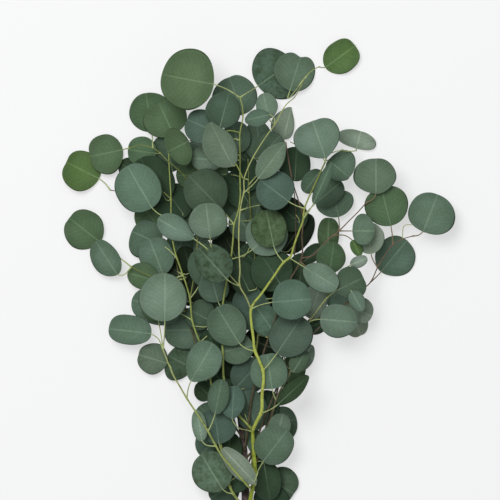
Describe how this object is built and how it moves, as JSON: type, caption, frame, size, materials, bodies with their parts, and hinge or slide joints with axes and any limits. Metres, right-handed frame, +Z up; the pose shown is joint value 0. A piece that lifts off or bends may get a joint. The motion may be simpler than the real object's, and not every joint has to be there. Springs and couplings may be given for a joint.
{
  "type": "eucalyptus branch",
  "caption": "Cut branch of round-leaved eucalyptus lying flat: a woody stem with leafy shoots of grey-green round blades on slender stalks.",
  "frame": {"origin": "middle of the footprint, on the surface that the branch lies on", "axes": "+Y from the cut end towards the leafy end, +Z up from the surface towards the viewer, +X to the right seen from above"},
  "size_m": [0.3958, 0.5186, 0.0701],
  "materials": {
    "leaf": "matt waxy bloom",
    "bark": "smooth thin bark",
    "green_stem": "smooth, faintly waxy"
  },
  "bodies": {
    "root": {"woody_stem": "bark", "back_left_shoot": "leaf", "back_right_shoot": "leaf", "back_centre_shoot": "leaf", "far_right_shoot": "leaf", "right_shoot": "leaf", "lower_right_shoot": "leaf", "left_shoot": "leaf", "front_branch": "leaf"}
  },
  "joints": []
}
